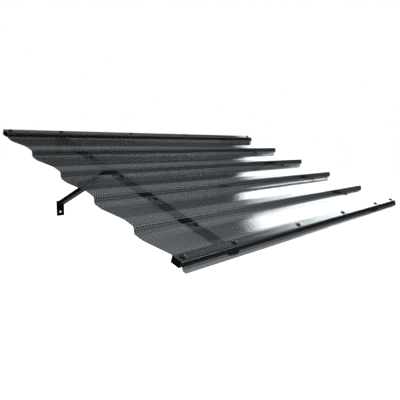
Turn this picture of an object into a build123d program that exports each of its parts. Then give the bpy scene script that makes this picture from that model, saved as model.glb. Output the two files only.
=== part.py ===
from build123d import *
import os
from math import atan, cos, degrees, radians, sin, sqrt, tan

# A door canopy: one wave-profiled plastic roof sheet lies over two cross tubes and two welded brackets,
# and dome-head bolts with sealing washers hold it down on both.
#
# Frame, in millimetres: X runs to the right along the wall, Y into the wall, Z up. The wall face is Y = 0,
# and the origin is the centre of the four wall holes. The roof has a frame of its own: x as above, "down"
# the slope from the wall, and height above the tops of the bracket arms, on which the sheet's valleys lie.

# ---- Roof sheet ----
sheet_width = 1500.0
sheet_thickness = 1.5
roof_slope = 18.25  # degrees that the roof falls away from the wall
wave_count = 5
wave_pitch = 183.6  # down the slope, from one riser to the next
wave_depth = 18.0  # underside of a valley to underside of a crest
riser_run = 9.5  # how far a riser's foot stands out past its top
riser_top_radius = 4.0  # on the underside
riser_foot_radius = 5.0  # on the underside
valley_radius = 110.0
crest_radius = 76.0
lip_length = 9.0  # drip edge past the foot of the last riser

# ---- Cross tubes, one under the first crest and one under the last ----
tube_width = 30.0
tube_wall = 1.5
tube_corner = 2.0
cap_flange = 1.5
cap_insert = 10.0
cap_wall = 1.5

# ---- Brackets ----
bracket_spacing = 1056.0  # centre to centre
arm_width = 30.0
arm_depth = 15.0
arm_plug_insert = 7.0
strut_depth = 15.0
strut_tab_inset = 11.3  # from a tab's top to the middle of the strut
strut_past_middle = 15.0  # of its head, down the slope from midway between two valley bolts
tab_width = 32.0
tab_height = 62.0
tab_thickness = 4.0
tab_corner = 1.5
wall_hole_diameter = 8.5
wall_hole_inset = 16.0  # from a tab's lower edge
wall_hole_rise = 263.0  # from the lower wall holes to the upper ones

# ---- Fixings ----
end_bolt_inset = 20.0  # from the sheet's side edges
bolt_diameter = 6.0
bolt_head_diameter = 10.5
bolt_head_height = 3.3
bolt_socket = 4.0  # across flats
bolt_socket_depth = 2.0
bolt_tip = 3.0  # of thread past the nut
seal_diameter = 18.0
seal_thickness = 2.0
cup_diameter = 17.0
cup_thickness = 1.0
washer_diameter = 12.0
washer_thickness = 1.6
nut_flats = 10.0
nut_height = 5.0

# ---- Clearances ----
sheet_hole_clearance = 2.0  # on diameter, so that the sheet can creep in the sun
bolt_hole_clearance = 0.6  # on diameter, in tubes and arms
nut_clearance = 0.2  # on diameter
washer_clearance = 0.4  # on diameter
plug_clearance = 0.15  # each side, between a plug and its tube
crest_clearance = 0.5  # flat crest past the tube's faces
riser_clearance = 0.3  # tube's front face to the start of the riser's bend
land_clearance = 1.5  # riser's bend to the seal's edge
tab_roof_gap = 0.2  # upper tab's top to the roof's underside
tube_wall_gap = 3.0  # down the slope, from the wall to the rear tube
nut_tab_clearance = 0.85  # rear crossing nuts to the upper tabs

# ---- Sizes that follow ----
slope = radians(roof_slope)
tube_height = wave_depth
cup_seat = sheet_thickness + seal_thickness
head_seat = cup_seat + cup_thickness
riser_turn = degrees(atan(wave_depth / riser_run))
half_turn = tan(radians(riser_turn / 2))
riser_straight = sqrt(wave_depth**2 + riser_run**2) - (riser_top_radius + riser_foot_radius) * half_turn

# The rear tube stands clear of the wall, and the nuts below it stand clear of the upper tabs.
nut_reach = nut_flats / sqrt(3) * cos(slope)
nut_drop = (arm_depth + washer_thickness + nut_height) * sin(slope)
nut_line = (tab_thickness + nut_tab_clearance + nut_reach + nut_drop) / cos(slope)
rear_tube_line = max(tube_wall_gap + tube_width / 2, nut_line)
tube_setback = rear_tube_line - tube_width / 2
first_riser = tube_setback + tube_width + riser_clearance + riser_top_radius * half_turn
front_tube_line = rear_tube_line + wave_count * wave_pitch
bend_end = riser_run + riser_foot_radius * half_turn  # from a riser's top corner
bolt_from_riser = bend_end + land_clearance + seal_diameter / 2
land_end = bolt_from_riser + seal_diameter / 2 + crest_clearance
crest_start = wave_pitch - (first_riser - tube_setback + crest_clearance)
valley_bolt_lines = [first_riser + n * wave_pitch + bolt_from_riser for n in range(1, wave_count)]
strut_arm_line = (valley_bolt_lines[0] + valley_bolt_lines[1]) / 2 + strut_past_middle

# Between its land and its crest a wave is two arcs and the straight line that touches both.
rise_run = crest_start - land_end
rise_straight = sqrt(rise_run**2 + wave_depth**2 - 2 * (valley_radius + crest_radius) * wave_depth)
rise_turn = 2 * degrees(atan(wave_depth / (rise_run + rise_straight)))

upper_tab_top = wall_hole_rise / 2 + tab_height - wall_hole_inset
lower_tab_top = upper_tab_top - wall_hole_rise
roof_height = upper_tab_top + tab_thickness * tan(slope) + tab_roof_gap
arm_end = front_tube_line + tube_width / 2

roof = Plane(origin=(0, 0, roof_height), x_dir=(1, 0, 0), z_dir=(0, -sin(slope), cos(slope)))
bracket_lines = {"left": -bracket_spacing / 2, "right": bracket_spacing / 2}
tube_lines = {"rear": rear_tube_line, "front": front_tube_line}
end_bolt_x = sheet_width / 2 - end_bolt_inset
inner_bolt_x = bracket_spacing / 6
tube_bolt_xs = [-end_bolt_x, -inner_bolt_x, inner_bolt_x, end_bolt_x]


def on_roof(solid, x=0.0, down=0.0, height=0.0):
    """Moves a solid from the origin to a place in the roof's frame."""
    return roof.location * Pos(x, -down, height) * solid


# ---- Roof sheet ----
def wave_face_edges(lift):
    """Edges of one face of the sheet, lift above its underside, in (down the slope, height)."""
    bends = []

    def straight(length):
        start, heading = (bends[-1] @ 1, bends[-1] % 1) if bends else (first_point, Vector(1, 0))
        bends.append(Line(start, start + heading * length))

    def bend(radius, turn):
        # A bend to the left has its centre above the sheet, so the upper face's radius is smaller.
        face_radius = radius - lift if turn > 0 else radius + lift
        bends.append(JernArc(bends[-1] @ 1, bends[-1] % 1, face_radius, turn))

    def riser():
        bend(riser_top_radius, -riser_turn)
        straight(riser_straight)
        bend(riser_foot_radius, riser_turn)

    first_point = Vector(tube_setback, wave_depth + lift)
    straight(first_riser - tube_setback - riser_top_radius * half_turn)
    for _ in range(wave_count):
        riser()
        straight(land_end - bend_end)
        bend(valley_radius, rise_turn)
        straight(rise_straight)
        bend(crest_radius, -rise_turn)
        straight(wave_pitch - crest_start - riser_top_radius * half_turn)
    riser()
    straight(lip_length)
    return bends


def wave_sheet():
    """The roof sheet with its bolt holes."""
    under, upper = wave_face_edges(0.0), wave_face_edges(sheet_thickness)
    ends = [Line(under[0] @ 0, upper[0] @ 0), Line(under[-1] @ 1, upper[-1] @ 1)]
    side = Plane(origin=(sheet_width / 2, 0, 0), x_dir=(0, -1, 0), z_dir=(-1, 0, 0))
    sheet = extrude(side * make_face([*under, *upper, *ends]), amount=sheet_width)
    hole = Cylinder((bolt_diameter + sheet_hole_clearance) / 2, 4 * sheet_thickness)
    for x, down, seat in all_bolt_places():
        sheet -= Pos(x, -down, seat + sheet_thickness / 2) * hole
    return roof.location * sheet


# ---- Tubes ----
def tube_section(width, depth):
    """Rectangle with a tube's rounded corners, centred on the origin."""
    return RectangleRounded(width, depth, tube_corner)


def box_tube(length, width, depth):
    """Rectangular tube along X from the origin, width along Y and depth along Z."""
    bore = RectangleRounded(width - 2 * tube_wall, depth - 2 * tube_wall, tube_corner - tube_wall / 2)
    end = Plane(origin=(0, 0, 0), x_dir=(0, 1, 0), z_dir=(1, 0, 0))
    return extrude(end * (tube_section(width, depth) - bore), amount=length)


def tube_plug(width, depth, flange, insert):
    """Plastic plug for the end of a tube at the origin that runs along +X: flange outside, cup inside."""
    end = Plane(origin=(0, 0, 0), x_dir=(0, 1, 0), z_dir=(1, 0, 0))
    reach = 2 * (tube_wall + plug_clearance)
    corner = tube_corner - tube_wall / 2
    body = RectangleRounded(width - reach, depth - reach, corner)
    core = Rectangle(width - reach - 2 * cap_wall, depth - reach - 2 * cap_wall)
    plug = extrude(end * tube_section(width, depth), amount=-flange)
    return plug + extrude(end * (body - core), amount=insert)


def drill(solid, places, depth):
    """Cuts a bolt's clearance holes through a solid, each from its place down."""
    cutter = Cylinder((bolt_diameter + bolt_hole_clearance) / 2, depth)
    for x, y in places:
        solid -= Pos(x, y, 0) * cutter
    return solid


def cross_tube(down):
    """Cross tube under a crest, drilled for its bolts."""
    length = sheet_width - 2 * cap_flange
    tube = Pos(-length / 2, 0, 0) * box_tube(length, tube_width, tube_height)
    xs = [*tube_bolt_xs, *bracket_lines.values()]
    tube = drill(tube, [(x, 0) for x in xs], 2 * tube_height)
    return on_roof(tube, 0, down, tube_height / 2)


def cross_tube_cap(side, down):
    """Plug in the left (-1) or right (1) end of a cross tube."""
    plug = tube_plug(tube_width, tube_height, cap_flange, cap_insert)
    turned = Rot(0, 0, 0 if side < 0 else 180) * plug
    return on_roof(turned, side * (sheet_width / 2 - cap_flange), down, tube_height / 2)


# ---- Brackets ----
def front_of_tabs():
    """Plane of the tabs' front faces, facing away from the wall."""
    return Plane(origin=(0, -tab_thickness, 0), x_dir=(1, 0, 0), z_dir=(0, -1, 0))


def arm(x):
    """Bracket arm from its wall tab to the front tube, drilled for the sheet's bolts."""
    run_up = 2 * arm_depth  # extra length behind the tab's face, cut off below
    length = arm_end - cap_flange + run_up
    tube = Rot(0, 0, -90) * box_tube(length, arm_width, arm_depth)
    tube = Pos(0, run_up, 0) * tube
    lines = [rear_tube_line, *valley_bolt_lines, front_tube_line]
    tube = drill(tube, [(0, -down) for down in lines], 2 * arm_depth)
    placed = on_roof(tube, x, 0, -arm_depth / 2)
    return split(placed, bisect_by=front_of_tabs(), keep=Keep.TOP)


def arm_plug(x):
    """Plug in the front end of an arm."""
    plug = tube_plug(arm_width, arm_depth, cap_flange, arm_plug_insert)
    return on_roof(Rot(0, 0, 90) * plug, x, arm_end - cap_flange, -arm_depth / 2)


def strut(x):
    """Sloping strut, mitred to its wall tab and to the underside of the arm."""
    foot = Vector(x, -tab_thickness, lower_tab_top - strut_tab_inset)
    head = roof.from_local_coords(Vector(x, -strut_arm_line, -arm_depth))
    run = head - foot
    over = 2 * strut_depth  # extra length at both ends, cut off below
    tube = Rot(0, 0, -90) * box_tube(run.length + 2 * over, arm_width, strut_depth)
    tube = Rot(-degrees(atan(run.Z / -run.Y)), 0, 0) * Pos(0, over, 0) * tube
    tube = split(Pos(foot) * tube, bisect_by=front_of_tabs(), keep=Keep.TOP)
    underside = Plane(origin=head, x_dir=(1, 0, 0), z_dir=roof.z_dir)
    return split(tube, bisect_by=underside, keep=Keep.BOTTOM)


def wall_tab(x, top):
    """Plate that stands against the wall, with one wall hole."""
    face = Plane(origin=(x, 0, top - tab_height / 2), x_dir=(1, 0, 0), z_dir=(0, -1, 0))
    hole_height = wall_hole_inset - tab_height / 2
    outline = RectangleRounded(tab_width, tab_height, tab_corner)
    outline -= Pos(0, hole_height) * Circle(wall_hole_diameter / 2)
    return extrude(face * outline, amount=tab_thickness)


# ---- Fixings, each with its seat at the origin and the bolt's axis along Z ----
def dome_bolt(length):
    """Button-head bolt with a hexagon socket, its shank hanging down from the seat."""
    half = bolt_head_diameter / 2
    dome_radius = (half**2 + bolt_head_height**2) / (2 * bolt_head_height)
    dome = Pos(0, 0, bolt_head_height - dome_radius) * Sphere(dome_radius)
    head = dome & Pos(0, 0, bolt_head_height) * Cylinder(half, 2 * bolt_head_height)
    socket = extrude(RegularPolygon(bolt_socket / 2, 6, major_radius=False), amount=bolt_head_height)
    shank = Pos(0, 0, -length / 2) * Cylinder(bolt_diameter / 2, length)
    return head + shank - Pos(0, 0, bolt_head_height - bolt_socket_depth) * socket


def ring(diameter, hole, thickness):
    """Flat ring from the origin up."""
    return extrude(Circle(diameter / 2) - Circle(hole / 2), amount=thickness)


def cup_washer():
    """Metal cover of the seal, with its upper edge bevelled."""
    blank = ring(cup_diameter, bolt_diameter + washer_clearance, cup_thickness)
    rim = blank.edges().filter_by(GeomType.CIRCLE).group_by(Axis.Z)[-1].sort_by(SortBy.RADIUS)[-1]
    return chamfer(rim, cup_thickness / 2)


def hexagon_nut():
    """Nut hanging down from the origin."""
    blank = extrude(RegularPolygon(nut_flats / 2, 6, major_radius=False), amount=-nut_height)
    return blank - Cylinder((bolt_diameter + nut_clearance) / 2, 4 * nut_height)


def fixing_set(under):
    """The parts of one fixing that clamps what lies between its seat on the sheet and a depth below it."""
    stack = head_seat + under + washer_thickness + nut_height + bolt_tip
    washer_hole = bolt_diameter + washer_clearance
    return {
        "bolts": Pos(0, 0, head_seat) * dome_bolt(stack),
        "seals": Pos(0, 0, sheet_thickness) * ring(seal_diameter, washer_hole, seal_thickness),
        "cup_washers": Pos(0, 0, cup_seat) * cup_washer(),
        "flat_washers": Pos(0, 0, -under) * ring(washer_diameter, washer_hole, -washer_thickness),
        "nuts": Pos(0, 0, -under - washer_thickness) * hexagon_nut(),
    }


def fixing_groups():
    """Name of each group, its places as (x, down, height of the seat), and the depth that it clamps."""
    groups = {}
    for end, down in tube_lines.items():
        groups[f"{end}_tube"] = ([(x, down, wave_depth) for x in tube_bolt_xs], tube_height)
    crossings = [(x, down, wave_depth) for x in bracket_lines.values() for down in tube_lines.values()]
    groups["crossing"] = (crossings, tube_height + arm_depth)
    for side, x in bracket_lines.items():
        groups[f"{side}_arm"] = ([(x, down, 0.0) for down in valley_bolt_lines], arm_depth)
    return groups


def all_bolt_places():
    """Every bolt's place as (x, down, height of the seat)."""
    return [place for places, _ in fixing_groups().values() for place in places]


# ---- Assembly ----
nodes = {"wave_sheet": wave_sheet()}
for end, line in tube_lines.items():
    nodes[f"{end}_cross_tube"] = cross_tube(line)
    nodes[f"{end}_left_end_cap"] = cross_tube_cap(-1, line)
    nodes[f"{end}_right_end_cap"] = cross_tube_cap(1, line)
for side, line in bracket_lines.items():
    nodes[f"{side}_arm"] = arm(line)
    nodes[f"{side}_arm_plug"] = arm_plug(line)
    nodes[f"{side}_strut"] = strut(line)
    nodes[f"{side}_upper_wall_tab"] = wall_tab(line, upper_tab_top)
    nodes[f"{side}_lower_wall_tab"] = wall_tab(line, lower_tab_top)
for group, (places, under) in fixing_groups().items():
    for kind, piece in fixing_set(under).items():
        nodes[f"{group}_{kind}"] = Compound([on_roof(piece, *place) for place in places])

os.makedirs("parts", exist_ok=True)
for name, solid in nodes.items():
    export_step(solid, f"parts/{name}.step")
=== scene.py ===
"""Looks of a wall-mounted door canopy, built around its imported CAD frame.

One wave-profiled sheet of smoked polycarbonate lies over two powder-coated cross tubes and two welded
brackets, and dome-head bolts with sealing washers hold it down. All sizes are in metres. The row frame has
X along the wall, Y into the wall and Z up. The roof has a frame of its own: X across, Y up the slope towards
the wall, and Z square to the roof, from the tops of the bracket arms.
"""

from __future__ import annotations

import logging
import math
from dataclasses import dataclass
from enum import Enum
from typing import Any, Callable, Iterable, Mapping, Sequence

import bmesh
import bpy
from mathutils import Matrix, Vector


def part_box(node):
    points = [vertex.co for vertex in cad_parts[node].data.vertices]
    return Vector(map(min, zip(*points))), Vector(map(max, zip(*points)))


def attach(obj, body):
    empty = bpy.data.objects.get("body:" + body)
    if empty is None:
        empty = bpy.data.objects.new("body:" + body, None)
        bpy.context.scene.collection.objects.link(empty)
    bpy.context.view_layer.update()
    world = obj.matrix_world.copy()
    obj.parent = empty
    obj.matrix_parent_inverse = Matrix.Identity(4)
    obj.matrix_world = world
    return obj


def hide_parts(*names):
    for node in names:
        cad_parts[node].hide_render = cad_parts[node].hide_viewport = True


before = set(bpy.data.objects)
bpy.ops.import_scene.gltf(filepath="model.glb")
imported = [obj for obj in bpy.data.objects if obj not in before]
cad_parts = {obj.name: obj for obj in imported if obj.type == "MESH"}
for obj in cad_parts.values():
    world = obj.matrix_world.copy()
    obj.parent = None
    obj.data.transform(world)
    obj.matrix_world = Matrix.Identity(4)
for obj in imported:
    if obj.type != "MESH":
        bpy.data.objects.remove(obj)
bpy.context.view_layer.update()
LOG = logging.getLogger("door_canopy")
MM = 0.001
ROOT = "root"


class Slot(Enum):
    """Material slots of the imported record."""

    ROOF_SHEET = "roof_sheet"
    FRAME_COATING = "frame_coating"
    END_PLUGS = "end_plugs"
    BLACK_FIXINGS = "black_fixings"
    SEALS = "seals"
    ZINC_FIXINGS = "zinc_fixings"


# ---- Helpers for nodes and meshes ----
def linear(code: str) -> tuple[float, float, float, float]:
    """Turns an sRGB colour into the linear one that shaders take.

    Args:
        code: six hexadecimal digits.

    Returns:
        Linear red, green and blue, and an alpha of 1.
    """
    parts = [int(code[i : i + 2], 16) / 255 for i in (0, 2, 4)]
    red, green, blue = (p / 12.92 if p <= 0.04045 else ((p + 0.055) / 1.055) ** 2.4 for p in parts)
    return (red, green, blue, 1.0)


def add_node(
    tree: bpy.types.NodeTree, kind: str, inputs: Mapping[Any, Any] | None = None, **settings: Any
) -> bpy.types.Node:
    """Adds one node to a tree.

    Args:
        tree: the tree that gets the node.
        kind: the node's type name.
        inputs: values, or output sockets to link from, by input name or number.
        settings: properties of the node itself.

    Returns:
        The new node.
    """
    node = tree.nodes.new(kind)
    for name, value in settings.items():
        setattr(node, name, value)
    for key, value in (inputs or {}).items():
        if isinstance(value, bpy.types.NodeSocket):
            tree.links.new(value, node.inputs[key])
        else:
            node.inputs[key].default_value = value
    return node


def new_object(name: str, mesh: bpy.types.Mesh) -> bpy.types.Object:
    """Puts a mesh into the scene as an object at the origin."""
    piece = bpy.data.objects.new(name, mesh)
    bpy.context.scene.collection.objects.link(piece)
    return piece


def mesh_of(name: str, points: Sequence[Sequence[float]], faces: Sequence[Sequence[int]]) -> bpy.types.Mesh:
    """Makes a mesh from points and faces."""
    mesh = bpy.data.meshes.new(name)
    mesh.from_pydata([tuple(p) for p in points], [], [tuple(f) for f in faces])
    mesh.validate()
    return mesh


def run_nodes(
    name: str, source: bpy.types.Mesh, tree: bpy.types.NodeTree, inputs: Mapping[str, Any]
) -> bpy.types.Object:
    """Runs a geometry tree on a mesh and keeps its result as a plain mesh.

    Args:
        name: name of the finished piece.
        source: mesh that goes into the tree.
        tree: the geometry tree.
        inputs: values of the tree's named inputs.

    Returns:
        The finished piece, with no modifier left on it.
    """
    piece = new_object(name, source)
    modifier = piece.modifiers.new("make", "NODES")
    modifier.node_group = tree
    for item in tree.interface.items_tree:
        if item.item_type == "SOCKET" and item.in_out == "INPUT" and item.name in inputs:
            modifier[item.identifier] = inputs[item.name]
    evaluated = piece.evaluated_get(bpy.context.evaluated_depsgraph_get())
    made = bpy.data.meshes.new_from_object(evaluated)
    piece.modifiers.remove(modifier)
    piece.data = made
    made.name = name
    return piece


def finish_piece(piece: bpy.types.Object, nodes: Iterable[str] = ()) -> None:
    """Gives a finished piece its body, and hides the CAD nodes that it stands for."""
    nodes = list(nodes)
    if nodes:
        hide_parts(*nodes)
    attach(piece, ROOT)
    LOG.info("%s: %d faces, for %s", piece.name, len(piece.data.polygons), ", ".join(nodes) or "no CAD node")


def dress(nodes: Iterable[str], material: bpy.types.Material) -> None:
    """Gives CAD nodes a finish by assigning to their material slots."""
    for name in nodes:
        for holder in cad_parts[name].material_slots:
            holder.material = material
        LOG.info("%s: dressed in %s", name, material.name)


@dataclass
class TreeMaker:
    """Starts a geometry tree with named inputs and ends it with realised, coated geometry."""

    name: str

    def __post_init__(self) -> None:
        """Makes the empty tree."""
        self.tree = bpy.data.node_groups.new(self.name, "GeometryNodeTree")
        self.tree.interface.new_socket("Geometry", in_out="INPUT", socket_type="NodeSocketGeometry")
        self.tree.interface.new_socket("Geometry", in_out="OUTPUT", socket_type="NodeSocketGeometry")
        self.source = self.tree.nodes.new("NodeGroupInput")

    def inputs(self, kind: str, *names: str) -> list[bpy.types.NodeSocket]:
        """Adds named inputs of one kind.

        Args:
            kind: the sockets' type, such as Float, Int, Object or Material.
            names: the inputs' names.

        Returns:
            The sockets that carry their values in the tree.
        """
        for name in names:
            self.tree.interface.new_socket(name, in_out="INPUT", socket_type="NodeSocket" + kind)
        return [self.source.outputs[name] for name in names]

    def add(self, kind: str, inputs: Mapping[Any, Any] | None = None, **settings: Any) -> bpy.types.Node:
        """Adds one node to the tree, as add_node does."""
        return add_node(self.tree, kind, inputs, **settings)

    def math(self, operation: str, *values: Any) -> bpy.types.NodeSocket:
        """Adds one sum of numbers and returns its result."""
        return self.add("ShaderNodeMath", dict(enumerate(values)), operation=operation).outputs[0]

    def end(self, geometry: bpy.types.NodeSocket, material: bpy.types.NodeSocket) -> bpy.types.NodeTree:
        """Realises the instances, sets the material and closes the tree."""
        real = self.add("GeometryNodeRealizeInstances", {"Geometry": geometry}).outputs[0]
        coated = self.add("GeometryNodeSetMaterial", {"Geometry": real, "Material": material}).outputs[0]
        self.add("NodeGroupOutput", {"Geometry": coated})
        return self.tree


# ---- Finishes ----
@dataclass(frozen=True)
class Finish:
    """What every finish shares: a name, and one principled shader with patterns on Object coordinates."""

    name: str

    def start(self) -> tuple[bpy.types.Material, bpy.types.NodeTree, bpy.types.Node, bpy.types.NodeSocket]:
        """Starts the material.

        Returns:
            The material, its tree, its principled shader and the Object coordinates.
        """
        material = bpy.data.materials.new(self.name)
        material.use_nodes = True
        tree = material.node_tree
        tree.nodes.clear()
        shader = add_node(tree, "ShaderNodeBsdfPrincipled")
        add_node(tree, "ShaderNodeOutputMaterial", {"Surface": shader.outputs[0]})
        return material, tree, shader, add_node(tree, "ShaderNodeTexCoord").outputs["Object"]

    def clouds(
        self, tree: bpy.types.NodeTree, place: bpy.types.NodeSocket, size: float, low: Any, high: Any
    ) -> bpy.types.NodeSocket:
        """Blends two colours in soft clouds.

        Args:
            tree: the material's tree.
            place: coordinates.
            size: size of a cloud.
            low: colour of one half.
            high: colour of the other half.

        Returns:
            The colour.
        """
        noise = add_node(tree, "ShaderNodeTexNoise", {"Vector": place, "Scale": 1 / size, "Detail": 3.0})
        mix = add_node(
            tree, "ShaderNodeMix", {"Factor": noise.outputs["Fac"], 6: low, 7: high}, data_type="RGBA"
        )
        return mix.outputs[2]

    def grain(
        self, tree: bpy.types.NodeTree, place: bpy.types.NodeSocket, size: float, depth: float, strength: float
    ) -> bpy.types.NodeSocket:
        """Makes a fine uneven surface.

        Args:
            tree: the material's tree.
            place: coordinates.
            size: size of one bump.
            depth: height of one bump.
            strength: share of the bump that shows.

        Returns:
            The normal.
        """
        noise = add_node(tree, "ShaderNodeTexNoise", {"Vector": place, "Scale": 1 / size, "Detail": 2.0})
        settings = {"Height": noise.outputs["Fac"], "Strength": strength, "Distance": depth}
        return add_node(tree, "ShaderNodeBump", settings).outputs[0]


@dataclass(frozen=True)
class SmokedPolycarbonate(Finish):
    """Extruded and thermoformed polycarbonate with a smoke tint and a rolled-in honeycomb.

    The tint swallows most of the light, the glassy skin mirrors bright things at a low angle, and the
    honeycomb blurs what lies behind.
    """

    name: str = "polycarbonate_smoked_thermoformed"
    # Cells in the smoke tint; walls painted near white, a painted highlight and shade of the honeycomb relief.
    tint_cell: str = "2c3133"
    tint_wall_painted_highlight: str = "eff3f5"
    haze: float = 0.1  # share of light that the plastic scatters
    # Painted light: the lip is mixed towards white so that it reads paler than the rest of the sheet.
    lip_painted_light: float = 0.55  # share of white mixed into the lip's tint
    lip_start: float = -914.5 * MM
    lip_fade: float = 6 * MM
    relief: float = 0.05 * MM
    roughness: float = 0.06
    ior: float = 1.585

    def material(self) -> bpy.types.Material:
        """Builds the material.

        The cells of the honeycomb take the smoke tint and its walls are painted near white: a painted highlight and
        shade for the light that the pressed honeycomb catches. The attribute "cell" is 1 in the middle of a cell and
        0 at its walls.
        """
        material, tree, shader, place = self.start()
        hollow = add_node(tree, "ShaderNodeAttribute", attribute_name="hollow").outputs["Fac"]
        cell = add_node(tree, "ShaderNodeAttribute", attribute_name="cell").outputs["Fac"]
        ramp = {"Value": cell, "From Min": 0.08, "From Max": 0.5}
        cell = add_node(tree, "ShaderNodeMapRange", ramp, interpolation_type="SMOOTHSTEP").outputs[0]
        # Painted highlight and shade: the walls mix towards near white and the cells towards the smoke tint.
        tones = {"Factor": cell, 6: linear(self.tint_wall_painted_highlight), 7: linear(self.tint_cell)}
        tone = add_node(tree, "ShaderNodeMix", tones, data_type="RGBA").outputs[2]
        # Painted light: past the last riser the lip is mixed towards white, for the brighter light that shows
        # through the sheet's front edge.
        across = add_node(tree, "ShaderNodeSeparateXYZ", {0: place}).outputs["Y"]
        lip_end = self.lip_start - self.lip_fade
        ramp = {"Value": across, "From Min": self.lip_start, "From Max": lip_end, "To Max": self.lip_painted_light}
        lip_light_share = add_node(tree, "ShaderNodeMapRange", ramp).outputs[0]
        tones = {"Factor": lip_light_share, 6: tone, 7: linear("ffffff")}
        tone = add_node(tree, "ShaderNodeMix", tones, data_type="RGBA").outputs[2]
        tree.links.new(tone, shader.inputs["Base Color"])
        press = {"Height": hollow, "Strength": 1.0, "Distance": self.relief}
        bump = add_node(tree, "ShaderNodeBump", press, invert=True).outputs[0]
        tree.links.new(bump, shader.inputs["Normal"])
        shader.inputs["Roughness"].default_value = self.roughness
        shader.inputs["IOR"].default_value = self.ior
        shader.inputs["Transmission Weight"].default_value = 1.0 - self.haze
        return material


@dataclass(frozen=True)
class PaintedSteel(Finish):
    """Black polyester powder coat baked on steel: semi-gloss, with a fine orange peel in its reflections."""

    name: str = "powder_coat_black_semigloss"
    colour: str = "060607"
    colour_dusty: str = "0c0d0e"
    roughness: float = 0.32
    peel: float = 1.6 * MM

    def material(self) -> bpy.types.Material:
        """Builds the material."""
        material, tree, shader, place = self.start()
        tone = self.clouds(tree, place, 60 * MM, linear(self.colour), linear(self.colour_dusty))
        tree.links.new(tone, shader.inputs["Base Color"])
        tree.links.new(self.grain(tree, place, self.peel, 0.05 * MM, 0.25), shader.inputs["Normal"])
        shader.inputs["Roughness"].default_value = self.roughness
        shader.inputs["IOR"].default_value = 1.5
        return material


@dataclass(frozen=True)
class MouldedBlack(Finish):
    """Black moulded plastic or rubber: a satin to dull surface with the mould's fine grain."""

    name: str = "polyethylene_black_moulded"
    colour: str = "0b0b0c"
    roughness: float = 0.5
    grain_size: float = 0.8 * MM
    ior: float = 1.51

    def material(self) -> bpy.types.Material:
        """Builds the material."""
        material, tree, shader, place = self.start()
        tree.links.new(self.grain(tree, place, self.grain_size, 0.04 * MM, 0.3), shader.inputs["Normal"])
        shader.inputs["Base Color"].default_value = linear(self.colour)
        shader.inputs["Roughness"].default_value = self.roughness
        shader.inputs["IOR"].default_value = self.ior
        return material


@dataclass(frozen=True)
class BlackPlate(Finish):
    """Black zinc plate on steel fixings: dark metal with a soft sheen and small bright highlights."""

    name: str = "zinc_plate_black"
    colour: str = "5a5d61"
    roughness: float = 0.24

    def material(self) -> bpy.types.Material:
        """Builds the material."""
        material, tree, shader, place = self.start()
        tone = self.clouds(tree, place, 5 * MM, linear(self.colour), linear("4c4f53"))
        tree.links.new(tone, shader.inputs["Base Color"])
        shader.inputs["Metallic"].default_value = 1.0
        shader.inputs["Roughness"].default_value = self.roughness
        return material


@dataclass(frozen=True)
class ZincPlate(Finish):
    """Electroplated zinc on steel: bright, slightly blue, with soft clouding."""

    name: str = "zinc_plate_bright"
    colour: str = "b9bcc0"
    colour_cloud: str = "a2a7ad"
    roughness: float = 0.28

    def material(self) -> bpy.types.Material:
        """Builds the material."""
        material, tree, shader, place = self.start()
        tone = self.clouds(tree, place, 4 * MM, linear(self.colour), linear(self.colour_cloud))
        tree.links.new(tone, shader.inputs["Base Color"])
        shader.inputs["Metallic"].default_value = 1.0
        shader.inputs["Roughness"].default_value = self.roughness
        return material


# ---- The roof's frame ----
class RoofFrame:
    """Frame of the roof, found from the two cross tubes of the CAD frame."""

    def __init__(self, tube_height: float) -> None:
        """Finds the roof's slope and origin.

        Args:
            tube_height: height of the cross tubes, which stand on the arms.
        """
        rear, front = (self.centre(f"{end}_cross_tube") for end in ("rear", "front"))
        down = (front - rear).normalized()
        across = Vector((1, 0, 0))
        up = down.cross(across)
        seat = rear - up * tube_height / 2
        origin = seat - down * (seat.y / down.y)
        axes = Matrix((across, -down, up)).transposed().to_4x4()
        self.matrix = Matrix.Translation(origin) @ axes
        self.rear_line = (seat - origin).length
        self.front_line = self.rear_line + (front - rear).length

    @staticmethod
    def centre(node: str) -> Vector:
        """Returns the centre of a CAD node's box."""
        low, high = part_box(node)
        return (low + high) / 2

    def local(self, node: str) -> list[Vector]:
        """Returns the corners of a CAD node's mesh in the roof's frame."""
        back = self.matrix.inverted()
        return [back @ v.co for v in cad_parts[node].data.vertices]

    def places(self, node: str, apart: float = 30 * MM) -> list[tuple[float, float]]:
        """Finds the solids of a CAD group that lie across the roof.

        Args:
            node: name of the group.
            apart: least distance between two solids.

        Returns:
            The middle of each solid, as (across, up the slope).
        """
        groups: list[list[Vector]] = []
        for point in self.local(node):
            for group in groups:
                if (group[0].xy - point.xy).length < apart:
                    group.append(point)
                    break
            else:
                groups.append([point])
        return [
            tuple((min(p[axis] for p in group) + max(p[axis] for p in group)) / 2 for axis in (0, 1))
            for group in groups
        ]

    def heights(self, node: str) -> tuple[float, float]:
        """Returns the lowest and highest point of a CAD node, square to the roof."""
        ups = [point.z for point in self.local(node)]
        return min(ups), max(ups)


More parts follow.
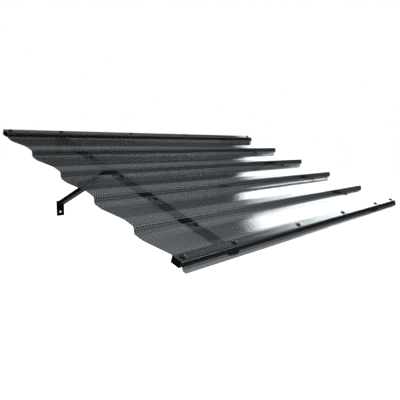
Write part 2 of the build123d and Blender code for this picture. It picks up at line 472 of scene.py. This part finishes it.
# ---- Roof sheet ----
@dataclass
class RoofSheet:
    """The wave-profiled sheet, with its honeycomb pressed into the upper face as real cells."""

    roof: RoofFrame
    thickness: float = 1.5 * MM
    wave_count: int = 5
    wave_depth: float = 18 * MM
    riser_run: float = 9.5 * MM
    riser_top_radius: float = 4 * MM
    riser_foot_radius: float = 5 * MM
    valley_radius: float = 110 * MM
    crest_radius: float = 76 * MM
    land_end: float = 32.5 * MM  # past a riser's top corner, where the valley starts to rise
    crest_start: float = 150.4 * MM  # past a riser's top corner
    lip_length: float = 9 * MM
    trim: float = 0.05 * MM  # keeps the lip's flat facets inside the CAD box
    riser_past_tube: float = 0.3 * MM
    tube_width: float = 30 * MM
    cell: float = 8 * MM  # across the flats of one honeycomb cell
    relief: float = 0.05 * MM  # depth of a cell's middle
    hole: float = 8 * MM
    arc_points: int = 33
    # The plain underside's tone lies part way between the painted-highlight walls and the smoke-tinted cells.
    underside_painted_tone: float = 0.33  # tint of the plain underside, between a wall's 0 and a cell's 1
    sharp: float = 50.0  # degrees between faces that keep a hard edge

    def __post_init__(self) -> None:
        """Works out what follows from the sizes."""
        low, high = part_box("wave_sheet")
        self.width = high.x - low.x
        self.pitch = (self.roof.front_line - self.roof.rear_line) / self.wave_count
        turn = math.atan2(self.wave_depth, self.riser_run)
        self.half_turn = math.tan(turn / 2)
        self.first_riser = (
            self.roof.rear_line + self.tube_width / 2 + self.riser_past_tube + self.riser_top_radius * self.half_turn
        )
        run, radii = self.crest_start - self.land_end, self.valley_radius + self.crest_radius
        self.rise_straight = math.sqrt(run**2 + self.wave_depth**2 - 2 * radii * self.wave_depth)
        self.rise_turn = 2 * math.atan2(self.wave_depth, run + self.rise_straight)
        self.riser_turn = turn

    def lead(self) -> float:
        """Returns how much of the profile lies before the sheet's rear edge."""
        corner = self.first_riser - self.pitch + self.crest_start - self.crest_radius * math.tan(self.rise_turn / 2)
        return self.roof.rear_line - self.tube_width / 2 - corner

    def developed(self) -> float:
        """Returns the sheet's length before it is formed."""
        radii = self.riser_top_radius + self.riser_foot_radius
        slant = math.hypot(self.wave_depth, self.riser_run) - radii * self.half_turn
        riser = radii * self.riser_turn + slant
        bend_end = self.riser_run + self.riser_foot_radius * self.half_turn
        bend_start = self.riser_top_radius * self.half_turn
        wave = self.land_end - bend_end + (self.valley_radius + self.crest_radius) * self.rise_turn
        wave += self.rise_straight + self.pitch - self.crest_start - bend_start
        rear = self.first_riser - bend_start - (self.roof.rear_line - self.tube_width / 2)
        return rear + (self.wave_count + 1) * riser + self.wave_count * wave + self.lip_length - self.trim

    def blank(self) -> bpy.types.Mesh:
        """Makes the flat sheet: a honeycomb upper face, its edges, and a plain underside.

        Returns:
            A closed mesh, with the share of the relief that each point gets as the attribute "hollow". The attribute
            "cell" is the same on the upper face, and even on the underside.
        """
        length = self.developed()
        columns = round(self.width / self.cell)
        rows = round(length / (self.cell * math.sqrt(3) / 2))
        step_x, step_y = self.width / columns / 2, length / rows / 3
        across, along = 2 * columns, 3 * rows
        numbers: dict[tuple[int, int], int] = {}
        points: list[tuple[float, float, float]] = []
        hollow: list[float] = []
        faces: list[list[int]] = []

        def at(column: int, row: int, middle: bool = False) -> int:
            """Returns the number of the upper face's point at a place on the lattice."""
            key = (min(max(column, 0), across), min(max(row, 0), along))
            if key not in numbers:
                numbers[key] = len(points)
                points.append((key[0] * step_x - self.width / 2, key[1] * step_y, self.thickness))
                inside = 0 < key[0] < across and 0 < key[1] < along
                hollow.append(1.0 if middle and inside else 0.0)
            return numbers[key]

        def area(corners: Sequence[tuple[int, int]]) -> int:
            """Returns twice the area of a lattice triangle, kept to the sheet."""
            (ax, ay), (bx, by), (cx, cy) = (
                (min(max(x, 0), across), min(max(y, 0), along)) for x, y in corners
            )
            return (bx - ax) * (cy - ay) - (cx - ax) * (by - ay)

        around = ((1, -1), (1, 1), (0, 2), (-1, 1), (-1, -1), (0, -2))
        for row in range(rows + 1):
            for column in range(row % 2, across + 1, 2):
                middle = (column, 3 * row)
                ring = [(column + x, 3 * row + y) for x, y in around]
                for first, second in zip(ring, ring[1:] + ring[:1]):
                    if area((middle, first, second)) > 0:
                        faces.append([at(*middle, True), at(*second), at(*first)])
        self.close(points, faces, hollow, numbers, across, along)
        mesh = mesh_of("wave_sheet_blank", points, faces)
        shades = [share if point[2] else self.underside_painted_tone for share, point in zip(hollow, points)]
        for name, values in (("hollow", hollow), ("cell", shades)):
            mesh.attributes.new(name, "FLOAT", "POINT").data.foreach_set("value", values)
        return mesh

    def close(
        self,
        points: list[tuple[float, float, float]],
        faces: list[list[int]],
        hollow: list[float],
        numbers: dict[tuple[int, int], int],
        across: int,
        along: int,
    ) -> None:
        """Adds the blank's edges and its underside.

        Args:
            points: points of the blank, which get the underside's.
            faces: faces of the blank, which get the rest.
            hollow: relief of each point, which gets the underside's.
            numbers: upper points by their place on the lattice.
            across: number of lattice steps across.
            along: number of lattice steps along.
        """
        used = {number for face in faces for number in face}
        place = {number: key for key, number in numbers.items() if number in used}
        left = sorted((n for n, key in place.items() if key[0] == 0), key=lambda n: place[n][1])
        right = sorted((n for n, key in place.items() if key[0] == across), key=lambda n: place[n][1])
        rear = sorted((n for n, key in place.items() if key[1] == 0), key=lambda n: place[n][0])
        front = sorted((n for n, key in place.items() if key[1] == along), key=lambda n: place[n][0])
        loop = rear + right[1:] + front[-2::-1] + left[-2:0:-1]
        under = {}
        for number in loop:
            under[number] = len(points)
            points.append((*points[number][:2], 0.0))
            hollow.append(0.0)
        for first, second in zip(loop, loop[1:] + loop[:1]):
            faces.append([first, second, under[second], under[first]])
        for index in range(len(left) - 1):
            lower, upper = [left[index], right[index]], [left[index + 1], right[index + 1]]
            if index == 0:
                lower = rear
            if index == len(left) - 2:
                upper = front
            faces.append([under[n] for n in lower + upper[::-1]])

    def tree(self) -> bpy.types.NodeTree:
        """Makes the tree that presses the flat sheet into its waves and its honeycomb."""
        maker = TreeMaker("wave_forming")
        pitch, first, depth, run = maker.inputs("Float", "Pitch", "First riser", "Wave depth", "Riser run")
        valley, crest = maker.inputs("Float", "Valley corner", "Crest corner")
        radii = maker.inputs("Float", "Riser top radius", "Riser foot radius", "Valley radius", "Crest radius")
        lead, relief = maker.inputs("Float", "Lead", "Relief")
        corners, arc_points = maker.inputs("Int", "Corners", "Arc points")
        (material,) = maker.inputs("Material", "Material")
        index = maker.add("GeometryNodeInputIndex").outputs[0]
        shifted = maker.math("ADD", index, 3.0)
        wave = maker.math("SUBTRACT", maker.math("FLOOR", maker.math("DIVIDE", shifted, 4.0)), 1.0)
        kind = maker.math("MODULO", shifted, 4.0)

        def by_kind(values: Sequence[Any]) -> bpy.types.NodeSocket:
            """Picks one of four values by the kind of corner."""
            node = maker.add("GeometryNodeIndexSwitch", data_type="FLOAT")
            while len(node.index_switch_items) < len(values):
                node.index_switch_items.new()
            maker.tree.links.new(kind, node.inputs["Index"])
            for number, value in enumerate(values):
                if isinstance(value, bpy.types.NodeSocket):
                    maker.tree.links.new(value, node.inputs[number + 1])
                else:
                    node.inputs[number + 1].default_value = value
            return node.outputs[0]

        riser = maker.math("ADD", maker.math("MULTIPLY", wave, pitch), first)
        down = maker.math("ADD", riser, by_kind((0.0, run, valley, crest)))
        corner = {"Y": maker.math("MULTIPLY", down, -1.0), "Z": by_kind((depth, 0.0, 0.0, depth))}
        place = maker.add("ShaderNodeCombineXYZ", corner).outputs[0]
        line = maker.add("GeometryNodeMeshLine", {"Count": corners}).outputs[0]
        line = maker.add("GeometryNodeSetPosition", {"Geometry": line, "Position": place}).outputs[0]
        curve = maker.add("GeometryNodeMeshToCurve", {"Mesh": line}).outputs[0]
        fillet = {"Curve": curve, "Count": arc_points, "Radius": by_kind(radii)}
        profile = maker.add("GeometryNodeFilletCurve", fillet, mode="POLY").outputs[0]

        flat = maker.add("GeometryNodeInputPosition").outputs[0]
        parts = maker.add("ShaderNodeSeparateXYZ", {0: flat}).outputs
        length = maker.math("ADD", parts["Y"], lead)
        sample = maker.add("GeometryNodeSampleCurve", {"Curves": profile, "Length": length}, mode="LENGTH")
        beside = maker.add("ShaderNodeCombineXYZ", {"X": parts["X"]}).outputs[0]
        square = maker.add(
            "ShaderNodeVectorMath", {0: sample.outputs["Tangent"], 1: (1.0, 0.0, 0.0)}, operation="CROSS_PRODUCT"
        ).outputs[0]
        hollow = maker.add("GeometryNodeInputNamedAttribute", {"Name": "hollow"}, data_type="FLOAT").outputs[0]
        height = maker.math("SUBTRACT", parts["Z"], maker.math("MULTIPLY", hollow, relief))
        lift = maker.add("ShaderNodeVectorMath", {0: square, "Scale": height}, operation="SCALE").outputs[0]
        onto = maker.add("ShaderNodeVectorMath", {0: sample.outputs["Position"], 1: lift}, operation="ADD")
        final = maker.add("ShaderNodeVectorMath", {0: onto.outputs[0], 1: beside}, operation="ADD").outputs[0]
        source = maker.source.outputs["Geometry"]
        formed = maker.add("GeometryNodeSetPosition", {"Geometry": source, "Position": final}).outputs[0]
        return maker.end(formed, material)

    def drill(self, piece: bpy.types.Object) -> None:
        """Cuts the bolt holes.

        Args:
            piece: the formed sheet, in the row frame.
        """
        cutter = bmesh.new()
        for node in (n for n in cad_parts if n.endswith("_seals")):
            low, _ = self.roof.heights(node)
            for across, up_slope in self.roof.places(node):
                place = self.roof.matrix @ Matrix.Translation((across, up_slope, low - self.thickness / 2))
                bmesh.ops.create_cone(
                    cutter, cap_ends=True, segments=32, radius1=self.hole / 2, radius2=self.hole / 2,
                    depth=4 * self.thickness, matrix=place,
                )
        mesh = bpy.data.meshes.new("sheet_drill")
        cutter.to_mesh(mesh)
        cutter.free()
        tool = new_object("sheet_drill", mesh)
        holes = piece.modifiers.new("holes", "BOOLEAN")
        holes.operation, holes.solver, holes.object = "DIFFERENCE", "MANIFOLD", tool
        drilled = bpy.data.meshes.new_from_object(
            piece.evaluated_get(bpy.context.evaluated_depsgraph_get())
        )
        piece.modifiers.remove(holes)
        piece.data = drilled
        bpy.data.objects.remove(tool)

    def build(self, material: bpy.types.Material) -> None:
        """Makes the sheet."""
        reach = math.tan(self.rise_turn / 2)
        inputs = {
            "Pitch": self.pitch,
            "First riser": self.first_riser,
            "Wave depth": self.wave_depth,
            "Riser run": self.riser_run,
            "Valley corner": self.land_end + self.valley_radius * reach,
            "Crest corner": self.crest_start - self.crest_radius * reach,
            "Riser top radius": self.riser_top_radius,
            "Riser foot radius": self.riser_foot_radius,
            "Valley radius": self.valley_radius,
            "Crest radius": self.crest_radius,
            "Lead": self.lead(),
            "Relief": self.relief,
            "Corners": 4 * (self.wave_count + 1),
            "Arc points": self.arc_points,
            "Material": material,
        }
        piece = run_nodes("wave_sheet_honeycomb", self.blank(), self.tree(), inputs)
        piece.data.transform(self.roof.matrix)
        self.drill(piece)
        piece.data.shade_smooth()
        piece.data.set_sharp_from_angle(angle=math.radians(self.sharp))
        finish_piece(piece, ["wave_sheet"])


# ---- Fixings ----
def turned(name: str, rings: Sequence[tuple[Any, float]], sides: int, ring_shaped: bool) -> bpy.types.Mesh:
    """Turns a profile about the Z axis.

    Args:
        name: name of the mesh.
        rings: radius and height of each ring in metres, with the solid on the left of the line that they
            make. A radius may be a function of the angle, as a hexagon's is.
        sides: number of points on a ring.
        ring_shaped: whether the last ring joins the first, or both ends close in a point.

    Returns:
        A closed mesh.
    """
    points: list[tuple[float, float, float]] = []
    faces: list[tuple[int, ...]] = []
    for radius, height in rings:
        for side in range(sides):
            angle = math.tau * side / sides
            reach = radius(angle) if callable(radius) else radius
            points.append((reach * math.cos(angle), reach * math.sin(angle), height))
    count = len(rings)
    for row in range(count if ring_shaped else count - 1):
        above = (row + 1) % count
        for side in range(sides):
            after = (side + 1) % sides
            faces.append(
                (row * sides + side, row * sides + after, above * sides + after, above * sides + side)
            )
    if not ring_shaped:
        points += [(0.0, 0.0, rings[0][1]), (0.0, 0.0, rings[-1][1])]
        last = (count - 1) * sides
        for side in range(sides):
            after = (side + 1) % sides
            faces.append((after, side, count * sides))
            faces.append((last + side, last + after, count * sides + 1))
    return mesh_of(name, points, faces)


def hexagon(flats: float, limit: float = 1.0) -> Callable[[float], float]:
    """Returns the radius of a hexagon at an angle, cut off by a circle.

    Args:
        flats: size across the flats.
        limit: radius of the circle.

    Returns:
        The function.
    """
    step = math.pi / 3
    return lambda angle: min(flats / 2 / math.cos((angle + step / 2) % step - step / 2), limit)


@dataclass
class Fixings:
    """The bolted fixings of one row: dome-head bolts, cup washers, sealing rings, flat washers and nuts."""

    roof: RoofFrame
    group: str
    finishes: Mapping[str, bpy.types.Material]
    seed: int
    sides: int = 24
    bolt: float = 6 * MM
    thread_depth: float = 0.38 * MM
    thread_turn: float = 1 * MM
    thread_length: float = 16 * MM
    head: float = 10.5 * MM
    head_height: float = 3.3 * MM
    socket: float = 4 * MM  # across the flats
    socket_depth: float = 2 * MM
    cup: float = 17 * MM
    seal: float = 18 * MM
    washer: float = 12 * MM
    nut: float = 10 * MM  # across the flats
    bore: float = 6.4 * MM
    rim: float = 0.62  # radius of the edge around the socket, as a share of the socket
    sharp: float = 35.0  # degrees between faces that keep a hard edge

    def bolt_shape(self, length: float) -> bpy.types.Mesh:
        """Makes a bolt with a threaded end, a low domed head and a hexagon socket.

        Args:
            length: length from tip to the top of the head.

        Returns:
            The mesh, with its tip at height 0.
        """
        shank, under = self.bolt / 2, length - self.head_height
        rings: list[tuple[Any, float]] = [(shank - 0.8 * MM, 0.0), (shank - 0.1 * MM, 0.7 * MM)]
        height = 0.7 * MM
        while height < min(self.thread_length, under - 3 * MM):
            rings += [(shank - self.thread_depth, height + 0.35 * MM), (shank, height + 0.85 * MM)]
            height += self.thread_turn
        edge, top = self.head / 2, length
        dome = (edge**2 + self.head_height**2) / (2 * self.head_height)  # its radius
        lip = self.socket * self.rim
        rings += [(shank, under), (edge - 0.2 * MM, under)]
        first, last = math.asin((edge - 0.06 * MM) / dome), math.asin(lip / dome)
        for step in range(7):
            swing = first + (last - first) * step / 6
            rings.append((dome * math.sin(swing), top - dome * (1 - math.cos(swing))))
        hollow = hexagon(self.socket)
        rings += [(hollow, top - 0.65 * MM), (hollow, top - self.socket_depth * 0.8)]
        rings.append((lambda angle: hollow(angle) * 0.35, top - self.socket_depth))
        return turned("bolt_shape", rings, self.sides, False)

    def cup_shape(self, height: float) -> bpy.types.Mesh:
        """Makes a dished cup washer of the given height."""
        edge, bore = self.cup / 2, self.bore / 2
        rings = [
            (bore, 0.0), (edge - 0.1 * MM, 0.0), (edge, 0.12 * MM), (edge, 0.4 * height),
            (edge - 0.35 * MM, 0.72 * height), (edge - 1.2 * MM, 0.93 * height), (edge - 2.6 * MM, height),
            (bore + 0.3 * MM, height), (bore, 0.8 * height),
        ]
        return turned("cup_shape", rings, self.sides, True)

    def seal_shape(self, height: float) -> bpy.types.Mesh:
        """Makes a rubber ring of the given height, squeezed so that its edge bulges."""
        edge, bore = self.seal / 2, self.bore / 2
        rings = [(bore, 0.0), (edge - 0.45 * MM, 0.0)]
        for step in range(1, 6):
            swing = math.pi * step / 6
            rings.append((edge - 0.45 * MM * (1 - math.sin(swing)), height * (1 - math.cos(swing)) / 2))
        rings += [(edge - 0.45 * MM, height), (bore, height)]
        return turned("seal_shape", rings, self.sides, True)

    def washer_shape(self, height: float) -> bpy.types.Mesh:
        """Makes a stamped flat washer of the given height, with its broken edges."""
        edge, bore, corner = self.washer / 2, self.bore / 2, 0.2 * MM
        rings = [
            (bore, corner), (bore + corner, 0.0), (edge - corner, 0.0), (edge, corner),
            (edge, height - corner), (edge - corner, height), (bore + corner, height), (bore, height - corner),
        ]
        return turned("washer_shape", rings, self.sides, True)

    def nut_shape(self, height: float) -> bpy.types.Mesh:
        """Makes a hexagon nut of the given height, with the curved chamfers that turning gives it."""
        bore, side = self.bolt / 2 + 0.05 * MM, self.nut / 2
        steps = ((0.0, 0.95), (0.25 * MM, 1.04), (0.55 * MM, 1.16))
        low = [(hexagon(self.nut, side * share), up) for up, share in steps]
        high = [(hexagon(self.nut, side * share), height - up) for up, share in reversed(steps)]
        rings = [(bore, 0.4 * MM), (bore + 0.4 * MM, 0.0), *low, *high, (bore + 0.4 * MM, height)]
        return turned("nut_shape", [*rings, (bore, height - 0.4 * MM)], self.sides, True)

    def tree(self) -> bpy.types.NodeTree:
        """Makes the tree that sets one shape at each place, each turned its own way."""
        maker = TreeMaker("fixing_row")
        (shape,) = maker.inputs("Object", "Shape")
        (seed,) = maker.inputs("Int", "Seed")
        (material,) = maker.inputs("Material", "Material")
        single = maker.add("GeometryNodeObjectInfo", {"Object": shape, "As Instance": True}).outputs["Geometry"]
        spin = maker.add(
            "FunctionNodeRandomValue", {"Max": (0.0, 0.0, math.tau), "Seed": seed}, data_type="FLOAT_VECTOR"
        ).outputs[0]
        turn = maker.add("FunctionNodeEulerToRotation", {0: spin}).outputs[0]
        places = {"Points": maker.source.outputs["Geometry"], "Instance": single, "Rotation": turn}
        return maker.end(maker.add("GeometryNodeInstanceOnPoints", places).outputs[0], material)

    def build(self) -> None:
        """Makes the five kinds of part in this row."""
        shapes = {
            "bolts": (self.bolt_shape, Slot.BLACK_FIXINGS, "steel"),
            "cup_washers": (self.cup_shape, Slot.BLACK_FIXINGS, "steel"),
            "seals": (self.seal_shape, Slot.SEALS, "rubber"),
            "flat_washers": (self.washer_shape, Slot.ZINC_FIXINGS, "zinc"),
            "nuts": (self.nut_shape, Slot.ZINC_FIXINGS, "zinc"),
        }
        for number, (kind, (shape, slot, finish)) in enumerate(shapes.items()):
            node = f"{self.group}_{kind}"
            low, high = self.roof.heights(node)
            master = new_object("master", shape(high - low))
            points = [(*place, low) for place in sorted(self.roof.places(node))]
            inputs = {"Shape": master, "Seed": self.seed + number, "Material": self.finishes[finish]}
            name = f"{self.group}_fitted_{kind}"
            piece = run_nodes(name, mesh_of("places", points, []), self.tree(), inputs)
            piece.data.transform(self.roof.matrix)
            bpy.data.objects.remove(master)
            piece.data.shade_smooth()
            piece.data.set_sharp_from_angle(angle=math.radians(self.sharp))
            finish_piece(piece, [node])


# ---- Steel frame ----
@dataclass
class CrossTubes:
    """The rear and front cross tubes with the plugs in their ends."""

    coat: bpy.types.Material
    plastic: bpy.types.Material

    def build(self) -> None:
        """Dresses the tubes and their plugs."""
        dress([f"{end}_cross_tube" for end in ("rear", "front")], self.coat)
        dress([f"{end}_{side}_end_cap" for end in ("rear", "front") for side in ("left", "right")], self.plastic)


@dataclass
class WallBracket:
    """One welded wall bracket: arm, strut and two wall tabs, with the plug in the arm's front end."""

    roof: RoofFrame
    side: str
    coat: bpy.types.Material
    plastic: bpy.types.Material
    bead: float = 1.5 * MM  # radius of a weld's ripple
    ripple: float = 1.1 * MM  # from one ripple to the next
    seed: int = 11

    def outline(self, node: str, in_roof: bool) -> list[Vector]:
        """Finds the rectangle where a bar ends flat on another piece.

        Args:
            node: name of the bar.
            in_roof: whether the flat end lies in the roof's plane, and not in the wall's.

        Returns:
            The rectangle's four corners.
        """
        if in_roof:
            points = self.roof.local(node)
            top = max(p.z for p in points)
            flat = [p for p in points if p.z > top - 0.05 * MM]
            xs, ys = [p.x for p in flat], [p.y for p in flat]
            corners = [(min(xs), min(ys)), (max(xs), min(ys)), (max(xs), max(ys)), (min(xs), max(ys))]
            return [self.roof.matrix @ Vector((x, y, top)) for x, y in corners]
        points = [v.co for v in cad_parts[node].data.vertices]
        wall = max(p.y for p in points)
        flat = [p for p in points if p.y > wall - 0.05 * MM]
        xs, zs = [p.x for p in flat], [p.z for p in flat]
        corners = [(min(xs), min(zs)), (max(xs), min(zs)), (max(xs), max(zs)), (min(xs), max(zs))]
        return [Vector((x, wall, z)) for x, z in corners]

    def tree(self) -> bpy.types.NodeTree:
        """Makes the tree that lays the ripples of a weld along a line."""
        maker = TreeMaker("weld_bead")
        bead, ripple = maker.inputs("Float", "Bead", "Ripple")
        (seed,) = maker.inputs("Int", "Seed")
        (material,) = maker.inputs("Material", "Material")
        curve = maker.add("GeometryNodeMeshToCurve", {"Mesh": maker.source.outputs["Geometry"]}).outputs[0]
        points = maker.add("GeometryNodeResampleCurve", {"Curve": curve, "Length": ripple}, mode="LENGTH").outputs[0]
        ball = maker.add("GeometryNodeMeshIcoSphere", {"Radius": bead, "Subdivisions": 2}).outputs[0]
        along = maker.add("GeometryNodeInputTangent").outputs[0]
        turn = maker.add("FunctionNodeAlignRotationToVector", {"Vector": along}, axis="Z").outputs[0]
        low, high = (0.85, 0.85, 0.5), (1.05, 1.05, 0.7)
        size = maker.add(
            "FunctionNodeRandomValue", {"Min": low, "Max": high, "Seed": seed}, data_type="FLOAT_VECTOR"
        ).outputs[0]
        places = {"Points": points, "Instance": ball, "Rotation": turn, "Scale": size}
        return maker.end(maker.add("GeometryNodeInstanceOnPoints", places).outputs[0], material)

    def build(self) -> None:
        """Dresses the bracket's pieces and lays its welds."""
        dress([f"{self.side}_{part}" for part in ("arm", "strut", "upper_wall_tab", "lower_wall_tab")], self.coat)
        dress([f"{self.side}_arm_plug"], self.plastic)
        points: list[Vector] = []
        edges: list[tuple[int, int]] = []
        arm, strut = f"{self.side}_arm", f"{self.side}_strut"
        for node, in_roof in ((arm, False), (strut, False), (strut, True)):
            start = len(points)
            points += self.outline(node, in_roof)
            edges += [(start + corner, start + (corner + 1) % 4) for corner in range(4)]
        line = bpy.data.meshes.new("weld_line")
        line.from_pydata(points, edges, [])
        inputs = {"Bead": self.bead, "Ripple": self.ripple, "Seed": self.seed, "Material": self.coat}
        piece = run_nodes(f"{self.side}_bracket_welds", line, self.tree(), inputs)
        piece.data.shade_smooth()
        finish_piece(piece)


# ---- Studio ----
@dataclass(frozen=True)
class SoftBox:
    """A soft source of light far off, by the angles at which each of its edges starts and ends, in degrees.

    Angles go from +X towards +Y, or up from the horizon.
    """

    right: tuple[float, float]
    left: tuple[float, float]
    bottom: tuple[float, float]
    top: tuple[float, float]
    light: float
    slant: tuple[float, float] = (1000.0, 999.0)  # for its upper left corner, cut off aslant: by default none is


@dataclass
class Studio:
    """Pale floor, soft lights and the camera."""

    floor_level: float = -2.1
    floor_size: float = 60.0
    room_dark: float = 0.02
    slant_rise: float = 0.9  # weight of the rise in a slanted edge's angle
    light_colour: str = "f6fbff"
    boxes: tuple[SoftBox, ...] = (
        # A large panel at the right end, mirrored as the white patches on the waves.
        SoftBox((3.0, 9.0), (34.8, 32.6), (1.0, 5.0), (32.0, 21.0), 3.6, (50.5, 47.2)),
        # A strip, mirrored as thin bright lines along the bends.
        SoftBox((-35.0, -32.0), (-21.0, -24.0), (26.0, 32.0), (60.0, 52.0), 1.6),
        # A small lamp, mirrored as a dot on the domed heads.
        SoftBox((77.0, 80.0), (92.0, 89.0), (36.0, 39.0), (50.0, 47.0), 7.0),
        # The ceiling, all the way round.
        SoftBox((-182.0, -181.0), (182.0, 181.0), (20.0, 29.0), (100.0, 91.0), 0.31),
        # The ground, all the way round, seen through the sheet from above.
        SoftBox((-182.0, -181.0), (182.0, 181.0), (-100.0, -91.0), (-18.0, -30.0), 0.18),
        # The backdrop, seen through the sheet from the front.
        SoftBox((0.0, 15.0), (95.0, 75.0), (-42.0, -28.0), (3.0, -13.0), 0.32),
    )
    camera_place: tuple[float, float, float] = (-1.4445, -1.5815, 0.1891)
    camera_turn: float = -48.37
    camera_tilt: float = 81.52
    camera_roll: float = 1.36
    camera_lens: float = 38.63

    def build(self) -> None:
        """Makes everything that isn't the canopy."""
        self.camera()
        self.floor()
        self.world()

    def camera(self) -> None:
        """Makes the scene's camera."""
        data = bpy.data.cameras.new("camera")
        data.lens, data.sensor_width = self.camera_lens, 36.0
        data.clip_start, data.clip_end = 0.01, 200.0
        camera = bpy.data.objects.new("camera", data)
        bpy.context.scene.collection.objects.link(camera)
        turns = ((self.camera_turn, "Z"), (self.camera_tilt, "X"), (self.camera_roll, "Z"))
        camera.matrix_world = Matrix.Translation(self.camera_place)
        for degrees, axis in turns:
            camera.matrix_world = camera.matrix_world @ Matrix.Rotation(math.radians(degrees), 4, axis)
        bpy.context.scene.camera = camera
        bpy.context.scene.view_settings.view_transform = "Standard"

    def floor(self) -> None:
        """Makes the pale floor."""
        half = self.floor_size / 2
        corners = [(x * half, y * half, self.floor_level) for x, y in ((-1, -1), (1, -1), (1, 1), (-1, 1))]
        floor = new_object("floor", mesh_of("floor", corners, [(0, 1, 2, 3)]))
        material, _, shader, _ = Finish("floor_paint_pale").start()
        shader.inputs["Base Color"].default_value = linear("f4f4f4")
        shader.inputs["Roughness"].default_value = 0.9
        shader.inputs["Emission Color"].default_value = linear("ffffff")
        shader.inputs["Emission Strength"].default_value = 1.0
        floor.data.materials.append(material)
        floor.visible_glossy = floor.visible_transmission = floor.visible_diffuse = False

    def world(self) -> None:
        """Makes the white backdrop that is seen, and the room that lights the canopy.

        The room is dim, and each soft box adds its own light to it.
        """
        world = bpy.data.worlds.new("studio_room")
        bpy.context.scene.world = world
        world.use_nodes = True
        tree = world.node_tree
        tree.nodes.clear()

        def math_node(operation: str, *values: Any) -> bpy.types.NodeSocket:
            """Adds one sum of numbers and returns its result."""
            return add_node(tree, "ShaderNodeMath", dict(enumerate(values)), operation=operation).outputs[0]

        direction = add_node(tree, "ShaderNodeTexCoord").outputs["Generated"]
        parts = add_node(tree, "ShaderNodeSeparateXYZ", {0: direction}).outputs
        turn = math_node("DEGREES", math_node("ARCTAN2", parts["Y"], parts["X"]))
        rise = math_node("DEGREES", math_node("ARCSINE", parts["Z"]))

        def edge(value: bpy.types.NodeSocket, start: float, end: float, top: float = 1.0) -> bpy.types.NodeSocket:
            """Fades smoothly from 0 at one angle to a top value at another."""
            ramp = {"Value": value, "From Min": start, "From Max": end, "To Min": 0.0, "To Max": top}
            node = add_node(tree, "ShaderNodeMapRange", ramp, interpolation_type="SMOOTHSTEP")
            return node.outputs[0]

        light = self.room_dark
        aslant = math_node("MULTIPLY_ADD", rise, self.slant_rise, turn)
        for box in self.boxes:
            shape = math_node("MULTIPLY", edge(turn, *box.left), edge(turn, *box.right, box.light))
            shape = math_node("MULTIPLY", shape, edge(rise, *box.bottom))
            shape = math_node("MULTIPLY", shape, edge(aslant, *box.slant))
            light = math_node("MAXIMUM", light, math_node("MULTIPLY", shape, edge(rise, *box.top)))
        seen = add_node(tree, "ShaderNodeLightPath").outputs["Is Camera Ray"]
        room = add_node(tree, "ShaderNodeBackground", {"Color": linear(self.light_colour), "Strength": light})
        backdrop = add_node(tree, "ShaderNodeBackground", {"Color": linear("ffffff"), "Strength": 1.0})
        mix = add_node(tree, "ShaderNodeMixShader", {0: seen, 1: room.outputs[0], 2: backdrop.outputs[0]})
        add_node(tree, "ShaderNodeOutputWorld", {"Surface": mix.outputs[0]})


def main() -> None:
    """Builds the studio and every sub-assembly of the canopy."""
    logging.basicConfig(level=logging.INFO, format="%(name)s: %(message)s")
    Studio().build()
    roof = RoofFrame(18 * MM)
    coat, plastic = PaintedSteel().material(), MouldedBlack().material()
    fixings = {
        "steel": BlackPlate().material(),
        "zinc": ZincPlate().material(),
        "rubber": MouldedBlack(
            "epdm_rubber_moulded", colour="08080a", roughness=0.62, grain_size=0.5 * MM, ior=1.52
        ).material(),
    }
    CrossTubes(coat, plastic).build()
    for number, side in enumerate(("left", "right")):
        WallBracket(roof, side, coat, plastic, seed=11 + number).build()
    RoofSheet(roof).build(SmokedPolycarbonate().material())
    for number, group in enumerate(("rear_tube", "crossing", "left_arm", "right_arm", "front_tube")):
        Fixings(roof, group, fixings, 20 + 5 * number).build()


if __name__ == "__main__":
    main()
